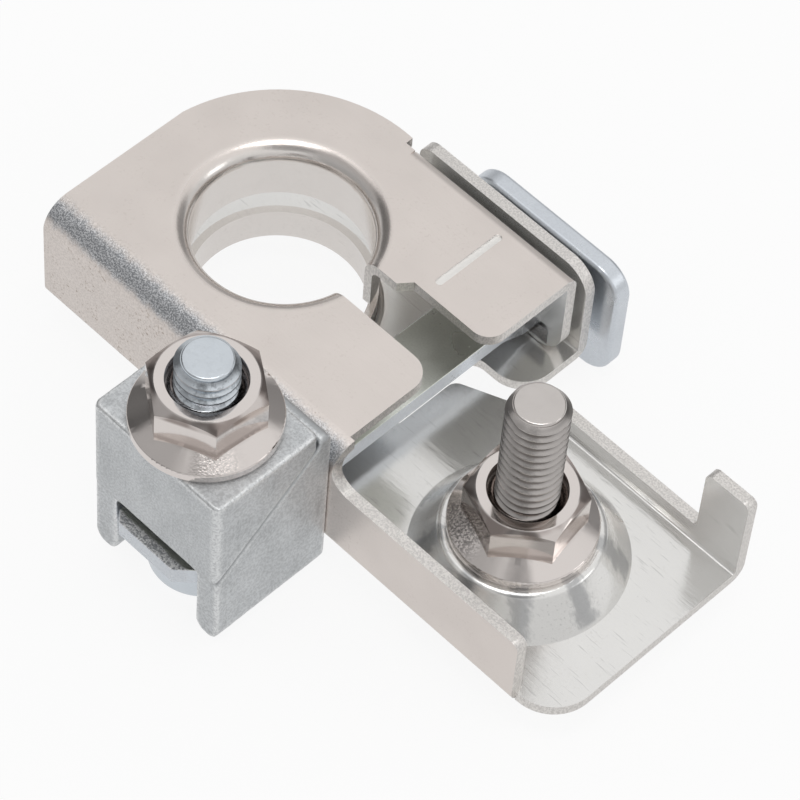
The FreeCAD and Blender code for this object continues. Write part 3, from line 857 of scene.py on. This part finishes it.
def thread_tree(name, material):
    """Geometry Nodes: a helical ridge swept round a plain core."""
    tree = bpy.data.node_groups.new(name, "GeometryNodeTree")
    face = tree.interface
    face.new_socket("Core", in_out="INPUT", socket_type="NodeSocketGeometry")
    for label, value in (("Turns", 12.0), ("Core radius", 2.4 * MM), ("Pitch", 1.0 * MM),
                         ("Depth", 0.6 * MM), ("Bottom", 0.0)):
        socket = face.new_socket(label, in_out="INPUT", socket_type="NodeSocketFloat")
        socket.default_value = value
    face.new_socket("Thread", in_out="OUTPUT", socket_type="NodeSocketGeometry")
    nodes, link = tree.nodes, tree.links.new

    def math_node(operation, a, b):
        made = nodes.new("ShaderNodeMath")
        made.operation = operation
        for source, socket in ((a, made.inputs[0]), (b, made.inputs[1])):
            if isinstance(source, bpy.types.NodeSocket):
                link(source, socket)
            else:
                socket.default_value = source
        return made.outputs[0]

    given = nodes.new("NodeGroupInput").outputs
    helix = nodes.new("GeometryNodeCurveSpiral")
    helix.inputs["Resolution"].default_value = 48
    link(given["Turns"], helix.inputs["Rotations"])
    link(given["Core radius"], helix.inputs["Start Radius"])
    link(given["Core radius"], helix.inputs["End Radius"])
    link(math_node("MULTIPLY", given["Turns"], given["Pitch"]), helix.inputs["Height"])
    upright = nodes.new("GeometryNodeSetCurveNormal")
    upright.mode = "Z_UP"
    link(helix.outputs[0], upright.inputs["Curve"])

    # The ridge grows to its full size within half a turn from either end
    along = nodes.new("GeometryNodeSplineParameter").outputs["Factor"]
    turns_in = math_node("MULTIPLY", along, given["Turns"])
    turns_left = math_node("SUBTRACT", given["Turns"], turns_in)
    fade = math_node("MULTIPLY", math_node("MINIMUM", turns_in, turns_left), 2.2)
    fade = math_node("MAXIMUM", math_node("MINIMUM", fade, 1.0), 0.05)
    ends = nodes.new("GeometryNodeSetCurveRadius")
    link(upright.outputs[0], ends.inputs["Curve"])
    link(fade, ends.inputs["Radius"])

    # The ridge's profile: a wide foot sunk into the core and a narrow crest
    half = math_node("MULTIPLY", given["Pitch"], 0.47)
    crest = math_node("MULTIPLY", given["Pitch"], 0.07)
    sunk = math_node("MULTIPLY", given["Depth"], 0.25)
    top = math_node("MULTIPLY", given["Depth"], -1.0)
    corners = []
    for across, out in ((half, sunk), (crest, top),
                        (math_node("MULTIPLY", crest, -1.0), top),
                        (math_node("MULTIPLY", half, -1.0), sunk)):
        point = nodes.new("ShaderNodeCombineXYZ")
        link(out, point.inputs["X"])
        link(across, point.inputs["Y"])
        corners.append(point.outputs[0])
    profile = nodes.new("GeometryNodeCurvePrimitiveQuadrilateral")
    profile.mode = "POINTS"
    for corner, label in zip(corners, ("Point 1", "Point 2", "Point 3", "Point 4")):
        link(corner, profile.inputs[label])
    sweep = nodes.new("GeometryNodeCurveToMesh")
    sweep.inputs["Fill Caps"].default_value = True
    link(ends.outputs[0], sweep.inputs["Curve"])
    link(profile.outputs[0], sweep.inputs["Profile Curve"])
    if "Scale" in sweep.inputs:
        radius = nodes.new("GeometryNodeInputRadius")
        link(radius.outputs[0], sweep.inputs["Scale"])

    lift = nodes.new("ShaderNodeCombineXYZ")
    link(given["Bottom"], lift.inputs["Z"])
    place = nodes.new("GeometryNodeSetPosition")
    link(sweep.outputs[0], place.inputs["Geometry"])
    link(lift.outputs[0], place.inputs["Offset"])
    join = nodes.new("GeometryNodeJoinGeometry")
    link(place.outputs[0], join.inputs[0])
    link(given["Core"], join.inputs[0])
    real = nodes.new("GeometryNodeRealizeInstances")
    link(join.outputs[0], real.inputs[0])
    finish = nodes.new("GeometryNodeSetMaterial")
    finish.inputs["Material"].default_value = material
    link(real.outputs[0], finish.inputs["Geometry"])
    out = nodes.new("NodeGroupOutput")
    link(finish.outputs[0], out.inputs[0])
    return tree


def lathe(outline, steps=96):
    """Closed solid of revolution from (radius, height) pairs, bottom to top."""
    mesh = bmesh.new()
    turns = [2 * math.pi * i / steps for i in range(steps)]
    rings = []
    for radius, height in outline:
        if radius <= 0:
            rings.append([mesh.verts.new((0, 0, height))])
        else:
            rings.append([mesh.verts.new((radius * math.cos(turn), radius * math.sin(turn), height))
                          for turn in turns])
    for low, high in zip(rings, rings[1:]):
        for i in range(steps):
            j = (i + 1) % steps
            if len(low) == 1:
                mesh.faces.new((low[0], high[j], high[i]))
            elif len(high) == 1:
                mesh.faces.new((low[i], low[j], high[0]))
            else:
                mesh.faces.new((low[i], low[j], high[j], high[i]))
    bmesh.ops.recalc_face_normals(mesh, faces=mesh.faces)
    return mesh


def arc_points(radius, height, size, start, end, count=5):
    """Rounded corner of an outline, by its centre, size and two angles."""
    points = []
    for i in range(count + 1):
        angle = math.radians(start + (end - start) * i / count)
        points.append((radius + size * math.cos(angle), height + size * math.sin(angle)))
    return points


def core_radius():
    return sizes().thread_radius - sizes().thread_depth


def bolt_levels(node):
    """Bottom level, top level and head radius of a bolt."""
    low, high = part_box(node)
    return low.z, high.z, (high.x - low.x) / 2


def shank_outline(under, top):
    """Core from under the head to the thread's chamfered, slightly rounded end."""
    core = core_radius()
    return [(core, under), (core, top - TIP_LENGTH), (core, top - TIP_CHAMFER)] \
        + arc_points(core - TIP_ROUND, top - TIP_ROUND, TIP_ROUND, 0, 90) + [(0, top)]


def threaded_bolt(name, outline, seat, axis, material, body, slot, node):
    """Bolt with a turned core and a thread swept from the seat to its end, placed on its axis."""
    given = sizes()
    piece = add_object(name, lathe(outline), [material])
    tree = thread_tree(name + "_thread", material)
    made = piece.modifiers.new("thread", "NODES")
    made.node_group = tree
    bottom = seat + THREAD_START
    top = outline[-1][1] - THREAD_STOP
    values = {"Turns": (top - bottom) / given.thread_pitch, "Core radius": core_radius(),
              "Pitch": given.thread_pitch, "Depth": given.thread_depth, "Bottom": bottom}
    for item in tree.interface.items_tree:
        if item.in_out == "INPUT" and item.name in values:
            made[item.identifier] = values[item.name]
    settle(piece)
    piece.data.transform(Matrix.Translation((axis[0], axis[1], 0)))
    piece.data.polygons.foreach_set("use_smooth", [True] * len(piece.data.polygons))
    piece.data.set_sharp_from_angle(angle=math.radians(THREAD_SHARP))
    hand_in(piece, body, slot, node)


class CLAMP_OT_bolts(bpy.types.Operator):
    """Clamp bolt and terminal bolt with cut threads"""

    bl_idname = "clamp.bolts"
    bl_label = "Threaded bolts"

    def execute(self, context):
        base, top, head = bolt_levels("clamp_bolt")
        under = base + CLAMP_HEAD
        outline = [(0, base), (head * 0.6, base)]
        outline += arc_points(head - CLAMP_HEAD_ROUND, base + CLAMP_HEAD_ROUND, CLAMP_HEAD_ROUND,
                              -90, 0, 7)
        outline += arc_points(head - CLAMP_HEAD_RIM, under - CLAMP_HEAD_RIM, CLAMP_HEAD_RIM,
                              0, 90, 3)
        threaded_bolt("clamp_bolt_zinc", outline + shank_outline(under, top), CLAMP_SEAT,
                      CLAMP_AXIS, zinc_bolt(), "strap", "zinc_bolt", "clamp_bolt")
        base, top, head = bolt_levels("terminal_bolt")
        under = base + TERMINAL_HEAD
        outline = [(0, base), (head * 0.7, base)]
        outline += arc_points(head - TERMINAL_HEAD_ROUND, base + TERMINAL_HEAD_ROUND,
                              TERMINAL_HEAD_ROUND, -90, 0)
        outline += [(head, under)]
        threaded_bolt("terminal_bolt_stainless", outline + shank_outline(under, top), TERMINAL_SEAT,
                      TERMINAL_AXIS, bright_stud(), "clamp", "bright_stud", "terminal_bolt")
        return {"FINISHED"}


class CLAMP_OT_stage(bpy.types.Operator):
    """Pale floor, soft studio light and the camera"""

    bl_idname = "clamp.stage"
    bl_label = "Stage, light and camera"

    def execute(self, context):
        self.floor()
        self.light()
        self.camera()
        return {"FINISHED"}

    def floor(self):
        """White ground for the camera, a plain floor for the metal, and the object's shadow."""
        given = stage_settings()
        half = given.floor_size / 2
        mesh = bmesh.new()
        corners = [mesh.verts.new((x * half, y * half, FLOOR_LEVEL))
                   for x, y in ((-1, -1), (1, -1), (1, 1), (-1, 1))]
        mesh.faces.new(corners)
        material = bpy.data.materials.new("pale_floor")
        material.use_nodes = True
        s = Nodes(material.node_tree)
        paper = s.node("ShaderNodeBsdfDiffuse")
        paper.inputs["Color"].default_value = solid(colours().floor)
        glow = s.node("ShaderNodeEmission")
        seen = s.node("ShaderNodeLightPath").outputs
        mirrored = s.times(seen["Is Glossy Ray"], given.floor_mirrored)
        direct = s.most(seen["Is Camera Ray"], seen["Is Transmission Ray"])
        direct = s.times(direct, given.background)
        s.feed(s.most(direct, mirrored), glow.inputs["Strength"])
        share = s.times(s.most(direct, seen["Is Glossy Ray"]), given.floor_glow)
        out = s.node("ShaderNodeOutputMaterial")
        s.feed(s.mix_shaders(share, paper.outputs[0], glow.outputs[0]), out.inputs["Surface"])
        add_object("floor", mesh, [material])

    def light(self):
        """Even light on matte surfaces, a tent with gaps in the metal, and two softboxes."""
        given = stage_settings()
        world = bpy.data.worlds.new("studio")
        bpy.context.scene.world = world
        world.use_nodes = True
        s = Nodes(world.node_tree)
        direction = s.node("ShaderNodeTexCoord").outputs["Generated"]
        seen = s.node("ShaderNodeLightPath").outputs

        def towards(vector, low, high):
            dot = s.node("ShaderNodeVectorMath", operation="DOT_PRODUCT")
            s.feed(direction, dot.inputs[0])
            dot.inputs[1].default_value = vector
            return s.span(dot.outputs["Value"], low, high)

        def background(strength):
            made = s.node("ShaderNodeBackground")
            s.feed(strength, made.inputs["Strength"])
            return made.outputs[0]

        height = s.plus(s.times(towards((0, 0, 1), 0.05, 0.75), TENT_RISE), TENT_FOOT)
        tent = s.times(height, given.tent)
        for vector, start, full, missing in TENT_GAPS:
            gap = s.times(towards(vector, start, full), missing)
            tent = s.times(tent, s.minus(1.0, gap))
        lit = s.mix_shaders(seen["Is Glossy Ray"], background(given.ambient), background(tent))
        direct = s.most(seen["Is Camera Ray"], seen["Is Transmission Ray"])
        out = s.node("ShaderNodeOutputWorld")
        s.feed(s.mix_shaders(direct, lit, background(given.background)), out.inputs["Surface"])
        self.softbox("overhead_softbox", place=(0.02, 0.0, 0.50), size=0.20, power=given.key_power)
        self.softbox("side_softbox", place=(0.36, 0.20, 0.20), size=0.14, power=given.fill_power)

    def softbox(self, name, place, size, power):
        """Square lamp that points at the object."""
        data = bpy.data.lights.new(name, "AREA")
        data.shape = "SQUARE"
        data.size = size
        data.energy = power
        lamp = bpy.data.objects.new(name, data)
        aim = LAMP_AIM - Vector(place)
        lamp.rotation_euler = aim.to_track_quat("-Z", "Y").to_euler()
        lamp.location = place
        bpy.context.scene.collection.objects.link(lamp)

    def camera(self):
        """The photograph's camera, fitted to the part's circles and edges."""
        turn, tilt, roll = (math.radians(v) for v in VIEW_ANGLES)
        forward = Vector((math.cos(tilt) * math.cos(turn), math.cos(tilt) * math.sin(turn),
                          -math.sin(tilt)))
        level = Vector((math.sin(turn), -math.cos(turn), 0))
        lifted = level.cross(forward)
        right = math.cos(roll) * level + math.sin(roll) * lifted
        up = -math.sin(roll) * level + math.cos(roll) * lifted
        data = bpy.data.cameras.new("photograph_view")
        data.sensor_width = 36
        data.lens = VIEW_LENS
        data.clip_start = 0.01
        camera = bpy.data.objects.new("photograph_view", data)
        facing = Matrix((right, up, -forward)).transposed().to_4x4()
        camera.matrix_world = Matrix.Translation(VIEW_PLACE) @ facing
        bpy.context.scene.collection.objects.link(camera)
        bpy.context.scene.camera = camera
        bpy.context.scene.view_settings.view_transform = "Standard"


class CLAMP_PT_panel(bpy.types.Panel):
    """Lists the clamp's settings and pieces"""

    bl_label = "Battery terminal clamp"
    bl_idname = "CLAMP_PT_panel"
    bl_space_type = "VIEW_3D"
    bl_region_type = "UI"
    bl_category = "Clamp"

    def draw(self, context):
        layout = self.layout
        for group in (sizes(), colours(), stage_settings()):
            column = layout.column(align=True)
            for key in group.__annotations__:
                column.prop(group, key)
        for operator in PIECES:
            layout.operator(operator.bl_idname)


PIECES = (CLAMP_OT_body, CLAMP_OT_strap, CLAMP_OT_wedges, CLAMP_OT_bolts, CLAMP_OT_nuts,
          CLAMP_OT_stage)
CLASSES = (ClampSizes, ClampColours, ClampStage) + PIECES + (CLAMP_PT_panel,)


def register():
    for cls in CLASSES:
        bpy.utils.register_class(cls)
    bpy.types.Scene.clamp_sizes = bpy.props.PointerProperty(type=ClampSizes)
    bpy.types.Scene.clamp_colours = bpy.props.PointerProperty(type=ClampColours)
    bpy.types.Scene.clamp_stage = bpy.props.PointerProperty(type=ClampStage)


def unregister():
    del bpy.types.Scene.clamp_stage
    del bpy.types.Scene.clamp_colours
    del bpy.types.Scene.clamp_sizes
    for cls in reversed(CLASSES):
        bpy.utils.unregister_class(cls)


def main():
    register()
    bpy.ops.clamp.body()
    bpy.ops.clamp.strap()
    bpy.ops.clamp.wedges()
    bpy.ops.clamp.bolts()
    bpy.ops.clamp.nuts()
    bpy.ops.clamp.stage()


if __name__ == "__main__":
    main()
